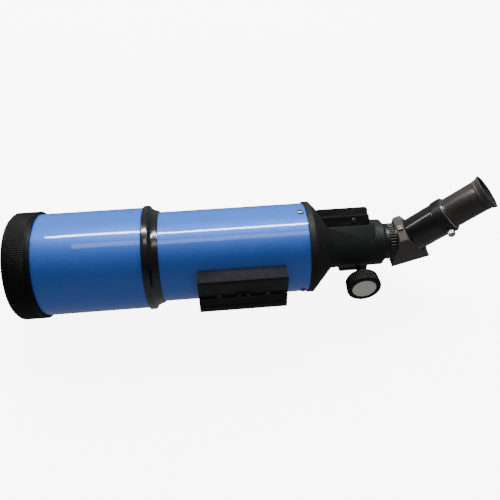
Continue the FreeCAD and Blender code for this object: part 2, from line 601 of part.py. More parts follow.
# ---------------------------------------------------------------- focusing knobs
for name, heading in (("near", -90), ("far", 90)):
    turned(f"knob_{name}", [
        ("knob_inner", "shaft_radius"), ("knob_inner - 2", "shaft_radius"), ("knob_inner - 2", 5),
        ("knob_inner", 6), ("knob_inner", "knob_inner_radius - 0.8"),
        ("knob_inner + 0.8", "knob_inner_radius"), ("knob_outer - 1.5", "knob_radius"),
        ("knob_outer - 0.4", "knob_radius - 0.5"), ("knob_outer", "knob_radius - 1.4"),
        ("knob_outer", "inlay_radius + 0.1"), ("knob_outer - inlay_recess", "inlay_radius + 0.1"),
        ("knob_outer - inlay_recess", 0), ("knob_inner + 6.1", 0), ("knob_inner + 6.1", "shaft_radius"),
    ], pinion * turn(Z_AXIS, heading))
    turned(f"knob_inlay_{name}", [
        ("knob_outer - inlay_recess", 0), ("knob_outer - inlay_recess + inlay_thickness", 0),
        ("knob_outer - inlay_recess + inlay_thickness", "inlay_radius - 0.4"),
        ("knob_outer - inlay_recess + inlay_thickness - 0.4", "inlay_radius"),
        ("knob_outer - inlay_recess", "inlay_radius"),
    ], pinion * turn(Z_AXIS, heading))

# ---------------------------------------------------------------- eyepiece holder
holder = new_body("eyepiece_holder")
revolve(holder, [
    ("holder_spigot_x", "holder_bore"), ("holder_spigot_x", "holder_spigot_radius"),
    ("holder_x", "holder_spigot_radius"), ("holder_x", "holder_radius - 1"), ("holder_x + 0.8", "holder_radius"),
    ("holder_rear_x - 0.8", "holder_radius"), ("holder_rear_x", "holder_radius - 0.8"),
    ("holder_rear_x", "holder_bore"),
])
holder_screw_roll = -135
extrude(holder, "XY_Plane", 0, 30, circles=([("(holder_x + holder_rear_x) / 2", 0)], 1.95), adds=False,
        tilt=holder_screw_roll)
keep(holder, "eyepiece_holder", optical)
holder_screw_seat = optical * turn(X_AXIS, holder_screw_roll) * shift(
    along=(size("holder_x") + size("holder_rear_x")) / 2, height=size("holder_radius"))
thumbscrew("holder_thumbscrew", 2.4, 4.6, holder_screw_seat * turn(Y_AXIS, -90))

# ---------------------------------------------------------------- erecting diagonal
# In the diagonal's own frame X is the entering axis, Z is towards the output, and the origin lies
# where the axis meets the housing's front face.
turned("diagonal_nosepiece", [
    ("nose_x - diagonal_x", "nose_bore"), ("nose_x - diagonal_x", "nose_radius - 0.5"),
    ("nose_x - diagonal_x + 0.5", "nose_radius"), (-0.02, "nose_radius"), (-0.02, "nose_bore"),
], diagonal)

side = size("housing_side")
apex = (0.0, size("apex_height"))
bend = math.radians(size("diagonal_bend"))
front_low = (0.0, apex[1] - side)
rear_low = (side * math.sin(bend), apex[1] - side * math.cos(bend))


def towards(start, end, distance):
    """The point at a distance from start on the way to end."""
    length = math.dist(start, end)
    return tuple(a + (b - a) * distance / length for a, b in zip(start, end))


def wedge(inset, cut, low_extra):
    """The triangular section with its apex cut off, its walls moved in by inset."""
    half = bend / 2
    tip = (apex[0] + inset, apex[1] - inset / math.tan(half))
    reach = side - inset * (1 / math.tan(half) + math.tan(half)) + low_extra
    low_a = (tip[0], tip[1] - reach)
    low_b = (tip[0] + reach * math.sin(bend), tip[1] - reach * math.cos(bend))
    return [low_a, towards(tip, low_a, cut), towards(tip, low_b, cut), low_b]


def along_output(front, length, radius):
    """A cylinder on the output axis, in the diagonal's frame."""
    heading = FreeCAD.Vector(math.cos(bend), 0, math.sin(bend))
    return Part.makeCylinder(radius, length, FreeCAD.Vector(corner_run, 0, 0) + heading * front, heading)


wall = size("housing_wall")
half_width = size("housing_half_width")
output_start = (apex[1] / math.cos(bend / 2) * math.sin(bend / 2))
shell = upright_slab(wedge(0, size("apex_cut"), 0), half_width)
shell = shell.cut(upright_slab(wedge(wall, size("apex_cut") - wall, 2 * wall), half_width - wall))
shell = shell.cut(Part.makeCylinder(size("nose_bore"), 3 * wall, FreeCAD.Vector(-wall, 0, 0), X_AXIS))
shell = shell.cut(along_output(output_start - 2 * wall, 4 * wall, size("nose_bore")))
roof_middle = [(a + b) / 2 for a, b in zip(towards(apex, front_low, size("apex_cut")),
                                            towards(apex, rear_low, size("apex_cut")))]
roof_normal = FreeCAD.Vector(-math.sin(bend / 2), 0, math.cos(bend / 2))
roof_seat = FreeCAD.Vector(roof_middle[0], 0, roof_middle[1])
shell = shell.cut(Part.makeCylinder(1.55, 3 * wall, roof_seat - roof_normal * 2 * wall, roof_normal))
prism_housing = doc.addObject("Part::Feature", "prism_housing")
prism_housing.Shape = shell
keep(prism_housing, "prism_housing", diagonal)

# The base plate closes the long side, inside the housing's walls.
base_middle = FreeCAD.Vector((front_low[0] + rear_low[0]) / 2, 0, (front_low[1] + rear_low[1]) / 2)
base_half = (side * math.sin(bend / 2) - wall / math.cos(bend / 2)
             - (size("base_plate") + 0.05) * math.tan(bend / 2) - 0.1)
base_place = FreeCAD.Placement(base_middle, FreeCAD.Rotation(Y_AXIS, -math.degrees(bend) / 2))
plate = primitive("Part::Box", "base_plate_blank", Length=2 * base_half, Width=2 * (half_width - wall) - 0.1,
                  Height="base_plate")
plate.Placement = shift(-base_half, -(half_width - wall) + 0.05, 0.05)
screw_run = base_half - 4.5
drills = []
for index, side_sign in enumerate((-1, 1)):
    drill = primitive("Part::Cylinder", f"base_plate_drill_{index}", Radius=1.25, Height="base_plate + 1")
    drill.Placement = shift(along=side_sign * screw_run)
    drills.append(drill)
drilled = boolean("Part::Cut", "base_plate_drilled", plate, drills[0])
keep(boolean("Part::Cut", "prism_base_plate", drilled, drills[1]), "prism_base_plate", diagonal * base_place)
base_screws = [screw(f"base_screw_{index}", 2.2, 1.2, 1.2, 2.6,
                     shift(along=side_sign * screw_run, height=0.03) * turn(X_AXIS, 180))
               for index, side_sign in enumerate((-1, 1))]
group("base_plate_screws", base_screws, diagonal * base_place)

glass_gap = 0.3
prism_solid = upright_slab(wedge(wall + glass_gap, size("apex_cut") + 3, -5), half_width - wall - 1.5)
prism_glass = doc.addObject("Part::Feature", "roof_prism")
prism_glass.Shape = prism_solid
keep(prism_glass, "roof_prism", diagonal)

roof_turn = FreeCAD.Placement(roof_seat + roof_normal * 0.02, FreeCAD.Rotation(Y_AXIS, -math.degrees(bend) / 2))
group("prism_clamp_screw", [screw("prism_clamp", 2.9, 1.7, 1.5, 4.0, shift())], diagonal * roof_turn)

# ---------------------------------------------------------------- output tube and its clamp collar
turned("output_tube", [
    (f"{output_start} + 0.02", "nose_bore"), (f"{output_start} + 0.02", "output_radius"),
    ("output_end - 0.4", "output_radius"), ("output_end", "output_radius - 0.3"),
    ("output_end", "output_bore"), ("barrel_start - 1", "output_bore"), ("barrel_start - 1", "nose_bore"),
], output)

collar = new_body("clamp_collar")
revolve(collar, [
    ("output_end + 0.05", "output_bore"), ("output_end + 0.05", "collar_radius - 0.6"),
    ("output_end + 0.65", "collar_radius"), ("collar_end - 0.6", "collar_radius"),
    ("collar_end", "collar_radius - 0.6"), ("collar_end", "output_bore"),
    ("collar_screw_station + 2.5", "output_bore"), ("collar_screw_station + 2.5", "output_bore + 0.9"),
    ("collar_screw_station - 2.5", "output_bore + 0.9"), ("collar_screw_station - 2.5", "output_bore"),
])
extrude(collar, "XZ_Plane", 10, 12, circles=([("collar_screw_station", 0)], 1.95), adds=False)
keep(collar, "clamp_collar", output)

compression = new_body("compression_ring")
revolve(compression, tube_outline("collar_screw_station - 2.4", "collar_screw_station + 2.4",
                                  "output_bore + 0.85", "output_bore + 0.02"))
extrude(compression, "YZ_Plane", "collar_screw_station - 5", 10, rectangle(-1, 10, 1, 20), adds=False)
keep(compression, "compression_ring", output)

collar_screw_seat = output * shift(along=size("collar_screw_station"), across=-size("collar_radius"))
thumbscrew("eyepiece_thumbscrew", 1.45, 3.4, collar_screw_seat * turn(Z_AXIS, -90), head_radius=3.2,
           head_length=4.6)

# ---------------------------------------------------------------- eyepiece
turned("eyepiece_barrel", [
    ("barrel_start", "barrel_bore"), ("barrel_start", "barrel_radius - 0.4"),
    ("barrel_start + 0.4", "barrel_radius"), ("collar_end + 0.1", "barrel_radius"),
    ("collar_end + 0.1", "barrel_radius + 1.1"), ("collar_end + flange_thickness", "barrel_radius + 1.1"),
    ("collar_end + flange_thickness", "barrel_bore"),
], output)
turned("field_stop", tube_outline("barrel_start + 16", "barrel_start + 18", "barrel_bore - 0.05", 9.5), output)
turned("eyepiece_body", [
    ("collar_end + flange_thickness + 0.02", 12.05), ("collar_end + flange_thickness + 0.02", "eyepiece_radius"),
    ("eyepiece_end", "eyepiece_radius"), ("eyepiece_end", 11), ("eyepiece_end - 2", 11),
    ("eyepiece_end - 2", 12.05),
], output)


def small_lens(label, middle, radius, thickness, curve):
    """A biconvex lens on the output axis."""
    blank = primitive("Part::Cylinder", label + "_blank", Radius=radius, Height=thickness)
    blank.Placement = shift(along=middle - thickness / 2) * turn(Y_AXIS, 90)
    front = curve_ball(label + "_front_ball", curve, middle - thickness / 2 + curve)
    rear = curve_ball(label + "_rear_ball", curve, middle + thickness / 2 - curve)
    half = boolean("Part::Common", label + "_half", blank, front)
    return keep(boolean("Part::Common", label, half, rear), label, output)


small_lens("field_lens", size("collar_end") + 8, 12.0, 6.0, 34.0)
small_lens("eye_lens", size("eyepiece_end") - 5.5, 12.0, 6.5, 30.0)
turned("lens_spacer_tube", tube_outline("collar_end + 11.2", "eyepiece_end - 9", 12.0, 11.0), output)
turned("eyecup", [
    ("eyepiece_end + 0.02", 12.5), ("eyepiece_end + 0.02", "eyepiece_radius + 0.2"),
    ("eyepiece_end + 2", "eyepiece_radius + 0.4"), ("eyecup_end - 2.5", "eyecup_radius - 1.1"),
    ("eyecup_end - 0.6", "eyecup_radius"), ("eyecup_end", "eyecup_radius - 0.4"),
    ("eyecup_end", "eyecup_radius - 1.6"), ("eyecup_end - 2.5", "eyecup_radius - 2.6"),
    ("eyepiece_end + 2.5", "eyepiece_radius - 1.4"), ("eyepiece_end + 1.6", 12.5),
], output)

# ---------------------------------------------------------------- checks and files
doc.recompute()
for item in doc.Objects:
    if "Invalid" in item.State or "Error" in item.State:
        raise RuntimeError(f"{item.Name} failed to recompute: {item.State}")
for piece in parts:
    if piece.Shape.isNull() or not piece.Shape.isValid() or not piece.Shape.Solids:
        raise RuntimeError(f"{piece.Label} is not a valid solid")

os.makedirs("parts", exist_ok=True)
for piece in parts:
    piece.Shape.exportStep(f"parts/{piece.Label}.step")
print(f"{len(parts)} sub-parts written")
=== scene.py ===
import json
import math

import bmesh
import bpy
from mathutils import Matrix, Vector


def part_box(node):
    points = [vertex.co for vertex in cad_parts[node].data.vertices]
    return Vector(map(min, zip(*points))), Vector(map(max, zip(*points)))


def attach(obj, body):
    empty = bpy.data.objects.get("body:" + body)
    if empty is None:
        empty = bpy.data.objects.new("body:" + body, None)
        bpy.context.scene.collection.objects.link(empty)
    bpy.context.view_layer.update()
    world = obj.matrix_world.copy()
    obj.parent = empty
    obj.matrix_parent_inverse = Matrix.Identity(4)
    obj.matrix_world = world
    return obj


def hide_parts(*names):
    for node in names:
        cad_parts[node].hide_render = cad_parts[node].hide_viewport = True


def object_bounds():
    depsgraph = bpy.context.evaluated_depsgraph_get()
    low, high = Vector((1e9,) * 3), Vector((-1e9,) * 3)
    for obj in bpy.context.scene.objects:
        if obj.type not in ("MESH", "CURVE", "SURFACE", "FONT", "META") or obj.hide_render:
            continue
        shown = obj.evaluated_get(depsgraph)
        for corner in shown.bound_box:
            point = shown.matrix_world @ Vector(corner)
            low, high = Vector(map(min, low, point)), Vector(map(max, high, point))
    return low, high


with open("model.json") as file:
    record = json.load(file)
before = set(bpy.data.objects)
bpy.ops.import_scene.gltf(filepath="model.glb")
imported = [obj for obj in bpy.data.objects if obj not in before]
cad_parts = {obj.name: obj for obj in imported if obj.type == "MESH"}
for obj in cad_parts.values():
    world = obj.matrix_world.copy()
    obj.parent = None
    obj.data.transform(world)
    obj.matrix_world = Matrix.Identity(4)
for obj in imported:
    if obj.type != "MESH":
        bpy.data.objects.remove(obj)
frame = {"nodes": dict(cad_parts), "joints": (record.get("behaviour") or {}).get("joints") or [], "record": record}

cad_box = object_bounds()

# ------------------------------------------------------------------ objective cell
# A short cast aluminium ring that carries the lens pair in front of the tube, spun-faced and then
# powder coated gloss black; its lip is the shoulder that the dew shield stops against.
record = frame["record"]
home = {node: body for body, nodes in record["behaviour"]["bodies"].items() for node in nodes}
MM = 0.001


def linear(hex_colour):
    """An sRGB hex colour as the linear colour that a shader takes."""
    parts = [int(hex_colour[i:i + 2], 16) / 255 for i in (0, 2, 4)]
    return [c / 12.92 if c <= 0.04045 else ((c + 0.055) / 1.055) ** 2.4 for c in parts] + [1.0]


def add(tree, kind, inputs, **settings):
    """Adds a node, sets its properties, and sets or links its inputs."""
    new = tree.nodes.new(kind)
    for name, value in settings.items():
        setattr(new, name, value)
    for name, value in inputs.items():
        if isinstance(value, bpy.types.NodeSocket):
            tree.links.new(value, new.inputs[name])
        else:
            new.inputs[name].default_value = value
    return new


def start_finish(name, **constants):
    """A new material: its tree, its shader with the constants set on it, and the piece's own coordinates."""
    material = bpy.data.materials.new(name)
    material.use_nodes = True
    tree = material.node_tree
    tree.nodes.clear()
    shader = add(tree, "ShaderNodeBsdfPrincipled",
                 {key.replace("_", " "): value for key, value in constants.items()})
    add(tree, "ShaderNodeOutputMaterial", {"Surface": shader.outputs["BSDF"]})
    place = add(tree, "ShaderNodeTexCoord", {}).outputs["Object"]
    return material, tree, shader, place


def mottle(tree, shader, place, dark, light, size_mm, detail=2.0):
    """Lets the colour drift between two near tones in patches of a size."""
    patches = add(tree, "ShaderNodeTexNoise",
                  {"Vector": place, "Scale": 1 / (size_mm * MM), "Detail": detail})
    tone = add(tree, "ShaderNodeMix", {0: patches.outputs["Fac"], 6: linear(dark), 7: linear(light)},
               data_type="RGBA")
    tree.links.new(tone.outputs[2], shader.inputs["Base Color"])


def sheen_drift(tree, shader, place, low, high, size_mm):
    """Lets the roughness drift between two values, as handling and uneven coating do."""
    patches = add(tree, "ShaderNodeTexNoise", {"Vector": place, "Scale": 1 / (size_mm * MM), "Detail": 3.0})
    drift = add(tree, "ShaderNodeMapRange",
                {"Value": patches.outputs["Fac"], "From Min": 0.3, "From Max": 0.7,
                 "To Min": low, "To Max": high})
    tree.links.new(drift.outputs["Result"], shader.inputs["Roughness"])


def grain(tree, shader, place, wave_mm, depth_mm, coat=False, detail=2.0):
    """Raises a fine random relief of a wavelength and depth on the surface."""
    waves = add(tree, "ShaderNodeTexNoise", {"Vector": place, "Scale": 1 / (wave_mm * MM), "Detail": detail})
    relief = add(tree, "ShaderNodeBump", {"Height": waves.outputs["Fac"], "Distance": depth_mm * MM,
                                          "Strength": 1.0})
    tree.links.new(relief.outputs["Normal"], shader.inputs["Normal"])
    if coat:
        tree.links.new(relief.outputs["Normal"], shader.inputs["Coat Normal"])


def wear(material, *nodes):
    """Gives CAD nodes a finish."""
    for name in nodes:
        mesh = frame["nodes"][name].data
        mesh.materials.clear()
        mesh.materials.append(material)


def stand_for(piece, node, material):
    """The piece takes a CAD node's place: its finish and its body."""
    piece.data.materials.clear()
    piece.data.materials.append(material)
    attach(piece, home[node])
    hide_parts(node)


def round_edges(node, width_mm, material):
    """The node's own shape with its sharp edges rounded off, as casting, moulding and tumbling leave them."""
    weld_distance = 2e-6
    flat_angle, corner_angle, crease_angle = (math.radians(degrees) for degrees in (0.4, 32, 38))
    mesh = frame["nodes"][node].data.copy()
    piece = bpy.data.objects.new(node + "_finished", mesh)
    bpy.context.scene.collection.objects.link(piece)
    shape = bmesh.new()
    shape.from_mesh(mesh)
    bmesh.ops.remove_doubles(shape, verts=shape.verts, dist=weld_distance)
    bmesh.ops.dissolve_limit(shape, angle_limit=flat_angle, verts=shape.verts, edges=shape.edges)
    edges = [e for e in shape.edges
             if len(e.link_faces) == 2 and e.calc_face_angle(0.0) > corner_angle]
    bmesh.ops.bevel(shape, geom=edges, offset=width_mm * MM, offset_type="OFFSET", segments=2,
                    profile=0.5, affect="EDGES", clamp_overlap=True, harden_normals=False)
    for face in shape.faces:
        face.smooth = True
    shape.to_mesh(mesh)
    shape.free()
    mesh.set_sharp_from_angle(angle=crease_angle)
    stand_for(piece, node, material)


# The powder melts to an even gloss with a soft, slightly wavy highlight.
coat_black, tree, shader, place = start_finish(
    "cast_aluminium_powder_coated_gloss_black", Roughness=0.2, IOR=1.5, Coat_Weight=0.6, Coat_Roughness=0.08)
mottle(tree, shader, place, "0d0d0f", "131315", 9)
grain(tree, shader, place, 1.1, 0.012, coat=True)
round_edges("objective_cell", 0.25, coat_black)

# The lens pair, its foil spacer and the screwed-in retaining ring: polished glass with a faint green
# anti-reflection coating, and blackened edges that keep stray light down.
coated_glass, tree, shader, place = start_finish(
    "crown_and_flint_glass_coated", Roughness=0.02, IOR=1.52, Transmission_Weight=0.95,
    Coat_Weight=0.4, Coat_Tint=linear("9fd8b0"), Coat_Roughness=0.02)
mottle(tree, shader, place, "dfeee6", "eef6f0", 30)
wear(coated_glass, "crown_lens", "flint_lens", "field_lens", "eye_lens", "roof_prism")

# The dry, rough paint inside gives back almost no light.
flat_black, tree, shader, place = start_finish("steel_painted_flat_black", Roughness=0.9, IOR=1.45)
mottle(tree, shader, place, "0a0a0a", "101010", 2.5)
grain(tree, shader, place, 0.5, 0.03)
wear(flat_black, "lens_spacer", "front_baffle", "rear_baffle", "field_stop", "lens_spacer_tube")

# ------------------------------------------------------------------ main tube and dew shield
# Rolled and seam-welded steel tube, sprayed with a blue metallic enamel under clear lacquer: deep
# colour, a sharp window of light on top, and the slight ripple that sprayed lacquer keeps.
enamel, tree, shader, place = start_finish(
    "steel_tube_sprayed_blue_metallic_enamel", Metallic=0.2, IOR=1.5, Specular_IOR_Level=0.2,
    Coat_Weight=1.0, Coat_Roughness=0.04, Coat_IOR=1.5)
# Real flakes are a few hundredths of a millimetre; they are drawn far coarser, so that they show.
flake_mm, cloud_mm, ripple_mm, ripple_depth_mm = 0.9, 60, 2.4, 0.010
flakes = add(tree, "ShaderNodeTexVoronoi", {"Vector": place, "Scale": 1 / (flake_mm * MM)})
cloud = add(tree, "ShaderNodeTexNoise", {"Vector": place, "Scale": 1 / (cloud_mm * MM), "Detail": 2.0})
shimmer = add(tree, "ShaderNodeMix", {0: cloud.outputs["Fac"], 6: linear("346dd6"), 7: linear("3a74de")},
              data_type="RGBA")
flake_tone = add(tree, "ShaderNodeMapRange", {"Value": flakes.outputs["Distance"], "From Max": 0.8,
                                              "To Min": 1.06, "To Max": 0.94})
painted = add(tree, "ShaderNodeVectorMath", {0: shimmer.outputs[2], 1: flake_tone.outputs["Result"]},
              operation="MULTIPLY")
tree.links.new(painted.outputs["Vector"], shader.inputs["Base Color"])
sheen_drift(tree, shader, place, 0.40, 0.50, 14)
ripple = add(tree, "ShaderNodeTexNoise", {"Vector": place, "Scale": 1 / (ripple_mm * MM), "Detail": 1.0})
orange_peel = add(tree, "ShaderNodeBump", {"Height": ripple.outputs["Fac"], "Distance": ripple_depth_mm * MM})
tree.links.new(orange_peel.outputs["Normal"], shader.inputs["Coat Normal"])
wear(enamel, "main_tube")


def skin(name, rings, around, axis):
    """A closed skin of revolution. Each ring is (station, radius, rise) in mm, where the radius may be a
    function of the angle, and rise moves the ring's centre sideways. A ring of a few hundredths of a
    millimetre closes an end on the axis. axis takes the skin to its place."""
    shape = bmesh.new()
    loops = []
    for station, radius, rise in rings:
        loop = []
        for step in range(around):
            angle = 2 * math.pi * step / around
            reach = radius(angle) if callable(radius) else radius
            spot = Vector((station, reach * math.sin(angle), reach * math.cos(angle) + rise)) * MM
            loop.append(shape.verts.new(axis @ spot))
        loops.append(loop)
    for first, second in zip(loops, loops[1:] + loops[:1]):
        for step in range(around):
            after = (step + 1) % around
            shape.faces.new((first[step], first[after], second[after], second[step]))
    bmesh.ops.recalc_face_normals(shape, faces=shape.faces)
    mesh = bpy.data.meshes.new(name)
    for face in shape.faces:
        face.smooth = True
    shape.to_mesh(mesh)
    shape.free()
    mesh.set_sharp_from_angle(angle=math.radians(34))
    piece = bpy.data.objects.new(name, mesh)
    bpy.context.scene.collection.objects.link(piece)
    return piece


def about(middle, heading):
    """Takes a skin's own X axis to an axis through a point, both in the row frame."""
    forward = Vector(heading).normalized()
    across = Vector((0, 0, 1)).cross(forward)
    if across.length < 0.1:
        across = Vector((0, 1, 0))
    across.normalize()
    upward = forward.cross(across)
    turn = Matrix((forward, across, upward)).transposed().to_4x4()
    return Matrix.Translation(middle) @ turn


tube_low, tube_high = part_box("main_tube")
axis_y = (tube_low[1] + tube_high[1]) / 2
optical_axis = about((0, axis_y, 0), (1, 0, 0))

# The dew shield is the same enamelled tube, a push fit over the cell's spigot, with both its ends
# deburred; its inside is left flat black.
shield_low, shield_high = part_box("dew_shield")
shield_radius = (shield_high[1] - shield_low[1]) / 2 / MM
shield_front, shield_rear = shield_low[0] / MM, shield_high[0] / MM
shield_bore = shield_radius - 1.2
dew_shield = skin("dew_shield_tube", [
    (shield_front + 0.3, shield_radius, 0), (shield_rear - 0.35, shield_radius, 0),
    (shield_rear - 0.1, shield_radius - 0.1, 0), (shield_rear, shield_radius - 0.35, 0),
    (shield_rear, shield_bore, 0), (shield_front, shield_bore, 0),
    (shield_front, shield_radius - 0.3, 0)], 192, optical_axis)
stand_for(dew_shield, "dew_shield", enamel)


def blacken_inside(piece, middle, heading):
    """The faces that look in at the axis get flat black: the dew shield's real inside paint, and painted shade in
    the eyecup's hollow.
    """
    piece.data.materials.append(flat_black)
    for face in piece.data.polygons:
        offset = face.center - Vector(middle)
        radial = offset - offset.dot(heading) * Vector(heading)
        if radial.dot(face.normal) < -0.5 * radial.length:
            face.material_index = 1


blacken_inside(dew_shield, (0, axis_y, 0), Vector((1, 0, 0)))

# ------------------------------------------------------------------ dust cap and aperture plug
# One injection-moulded ABS cap with fine axial grip ribs and a smooth band at its rim; a small
# plug in its face opens a stopped-down aperture.
cap_low, cap_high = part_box("dust_cap")
cap_front, cap_rear = cap_low[0] / MM, cap_high[0] / MM
cap_radius = (cap_high[1] - cap_low[1]) / 2 / MM
plug_low, plug_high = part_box("aperture_plug")
plug_rise = (plug_low[2] + plug_high[2]) / 2 / MM
plug_hole_radius = 19.05
cap_ribs, cap_rib_depth = 160, 0.42


def cap_grip(angle):
    """The cap's wall between two depths: rounded ribs with narrow valleys."""
    return cap_radius - cap_rib_depth * (0.5 - 0.5 * math.cos(cap_ribs * angle)) ** 2


cap_bore, cap_plate = shield_radius + 0.3, 2.4
cap_groove = cap_radius - cap_rib_depth
dust_cap = skin("dust_cap_ribbed", [
    (cap_front, plug_hole_radius, plug_rise), (cap_front, cap_radius - 3.7, 0),
    (cap_front + 0.35, cap_radius - 3.2, 0), (cap_front + 2.9, cap_radius - 0.75, 0),
    (cap_front + 3.6, cap_groove, 0), (cap_front + 4.2, cap_grip, 0), (cap_rear - 5.2, cap_grip, 0),
    (cap_rear - 4.8, cap_groove, 0), (cap_rear - 4.3, cap_groove, 0), (cap_rear - 4.0, cap_radius, 0),
    (cap_rear - 0.5, cap_radius, 0), (cap_rear - 0.1, cap_radius - 0.2, 0), (cap_rear, cap_radius - 0.6, 0),
    (cap_rear, cap_bore, 0), (cap_front + cap_plate, cap_bore, 0),
    (cap_front + cap_plate, plug_hole_radius, plug_rise)], cap_ribs * 6, optical_axis)
# The mould's polish leaves a satin black that only catches light on the ribs' crests.
abs_black, tree, shader, place = start_finish(
    "abs_injection_moulded_satin_black", IOR=1.53, Specular_IOR_Level=0.14)
mottle(tree, shader, place, "080808", "0e0e0e", 4)
sheen_drift(tree, shader, place, 0.42, 0.54, 6)
grain(tree, shader, place, 0.8, 0.012)
stand_for(dust_cap, "dust_cap", abs_black)
round_edges("aperture_plug", 0.4, abs_black)

# ------------------------------------------------------------------ dovetail bar
# Extruded aluminium bar with flared flanks, cut to length and anodised black; a shallow groove
# along its face takes the screws and the tripod thread. The die leaves faint lines along it.
anodised, tree, shader, place = start_finish(
    "aluminium_extruded_black_anodised", Metallic=0.25, IOR=1.5, Specular_IOR_Level=0.22)
die_lines = add(tree, "ShaderNodeMapping", {"Vector": place, "Scale": (0.03, 1.0, 1.0)}).outputs["Vector"]
mottle(tree, shader, place, "131313", "1a1a1b", 7)
sheen_drift(tree, shader, place, 0.36, 0.46, 5)
grain(tree, shader, die_lines, 0.5, 0.02)
round_edges("dovetail_bar", 0.45, anodised)

# The machine screws are turned steel, zinc plated: a pale, slightly cool satin with turning rings.
zinc, tree, shader, place = start_finish("steel_turned_zinc_plated", Metallic=1.0)
mottle(tree, shader, place, "b9bbb6", "d4d5cf", 0.8)
sheen_drift(tree, shader, place, 0.24, 0.38, 0.7)
grain(tree, shader, place, 0.3, 0.01)
wear(zinc, "dovetail_nuts", "shoe_screws", "cover_screws", "base_plate_screws")
# Black oxide leaves the steel's own shine, only much darker.
blackened, tree, shader, place = start_finish("steel_screw_black_oxide", Metallic=0.8)
mottle(tree, shader, place, "2c2c2d", "47474a", 0.8)
sheen_drift(tree, shader, place, 0.3, 0.42, 0.7)
grain(tree, shader, place, 0.3, 0.008)
wear(blackened, "dovetail_screws")

# ------------------------------------------------------------------ focuser housing
# A pressure die casting: flange, cone and barrel in one, shot blasted and sprayed with a matt black
# paint that keeps the blasted texture. Three nickel-plated screws hold it in the tube.
casting, tree, shader, place = start_finish(
    "die_cast_housing_matt_black_paint", IOR=1.48, Specular_IOR_Level=0.25)
mottle(tree, shader, place, "161717", "202121", 5)
sheen_drift(tree, shader, place, 0.48, 0.6, 8)
grain(tree, shader, place, 0.9, 0.035, detail=3.0)
round_edges("focuser_housing", 0.5, casting)

# Nickel plate over brass: a warm white metal with small, bright highlights.
nickel, tree, shader, place = start_finish("brass_turned_nickel_plated", Metallic=1.0)
mottle(tree, shader, place, "a09a8e", "b8b2a6", 0.9)
sheen_drift(tree, shader, place, 0.16, 0.28, 0.8)
grain(tree, shader, place, 0.3, 0.006)
screw_low, screw_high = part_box("tube_screws")
screw_station = (screw_low[0] + screw_high[0]) / 2
for number, roll in enumerate((5, 125, 245)):
    outward = Vector((0, math.sin(math.radians(roll)), math.cos(math.radians(roll))))
    pan = skin(f"tube_screw_{number}", [
        (43.2, 0.02, 0), (43.2, 1.9, 0), (45.02, 1.9, 0), (45.05, 2.9, 0), (45.5, 3.0, 0), (46.0, 2.85, 0),
        (46.5, 2.3, 0), (46.75, 1.5, 0), (46.72, 1.25, 0), (45.9, 0.8, 0), (45.8, 0.02, 0)], 48,
        about((screw_station, axis_y, 0), outward))
    if number == 0:
        stand_for(pan, "tube_screws", nickel)
    else:
        pan.data.materials.append(nickel)
        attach(pan, home["tube_screws"])

# ------------------------------------------------------------------ finder shoe
# A separate moulding screwed on the housing's pedestal: two undercut rails that a finder's foot
# slides between, matt charcoal from a spark-eroded mould.
moulding, tree, shader, place = start_finish(
    "nylon_moulded_matt_charcoal", IOR=1.5, Specular_IOR_Level=0.1)
mottle(tree, shader, place, "121211", "1b1b19", 4)
sheen_drift(tree, shader, place, 0.66, 0.78, 6)
grain(tree, shader, place, 0.7, 0.03, detail=3.0)
round_edges("finder_shoe", 0.4, moulding)
wear(blackened, "shoe_side_screw")

# ------------------------------------------------------------------ drawtube and eyepiece holder
# A drawn aluminium tube, black anodised, with a moulded acetal rack in a milled seat; the fittings
# that slide in it are brass, polished and chromium plated.
chrome, tree, shader, place = start_finish("brass_tube_polished_chromium_plate", Metallic=1.0)
mottle(tree, shader, place, "cfd2d4", "dfe2e3", 6)
sheen_drift(tree, shader, place, 0.06, 0.12, 5)
wear(chrome, "diagonal_nosepiece", "eyepiece_barrel")

# Acetal is milky white and slightly translucent, with a waxy sheen.
acetal, tree, shader, place = start_finish("acetal_moulded_natural", Roughness=0.4, IOR=1.48,
                                           Subsurface_Weight=0.1)
mottle(tree, shader, place, "c9c8c0", "d6d5ce", 3)
grain(tree, shader, place, 0.6, 0.01)
wear(acetal, "drawtube_rack", "pinion_gear")

# The holder is a turned aluminium ring pressed in the drawtube's end, straight knurled for grip and
# anodised black, with one thumbscrew that clamps the nosepiece.
holder_low, holder_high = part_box("eyepiece_holder")
holder_rear, holder_radius = holder_high[0] / MM, (holder_high[1] - holder_low[1]) / 2 / MM
holder_front, spigot_front = holder_rear - 8.5, holder_low[0] / MM
spigot_radius, fitting_bore = 16.45, 15.92
holder_ribs = 36


def holder_grip(angle):
    """Rounded ribs round the holder."""
    return holder_radius - 1.0 * (0.5 - 0.5 * math.cos(holder_ribs * angle)) ** 2.5


holder = skin("eyepiece_holder_ribbed", [
    (spigot_front, fitting_bore, 0), (spigot_front, spigot_radius, 0), (holder_front, spigot_radius, 0),
    (holder_front, holder_radius - 1.0, 0), (holder_front + 0.8, holder_radius - 0.2, 0),
    (holder_front + 1.3, holder_radius - 0.1, 0), (holder_front + 1.6, holder_grip, 0),
    (holder_rear - 1.7, holder_grip, 0), (holder_rear - 1.4, holder_radius - 0.1, 0),
    (holder_rear - 0.7, holder_radius - 0.2, 0), (holder_rear, holder_radius - 0.9, 0),
    (holder_rear, fitting_bore, 0)], holder_ribs * 12, optical_axis)
turned_black, tree, shader, place = start_finish(
    "aluminium_turned_black_anodised", Metallic=0.2, IOR=1.5)
mottle(tree, shader, place, "18181a", "212122", 3)
sheen_drift(tree, shader, place, 0.3, 0.42, 3)
grain(tree, shader, place, 0.4, 0.01)
stand_for(holder, "eyepiece_holder", turned_black)


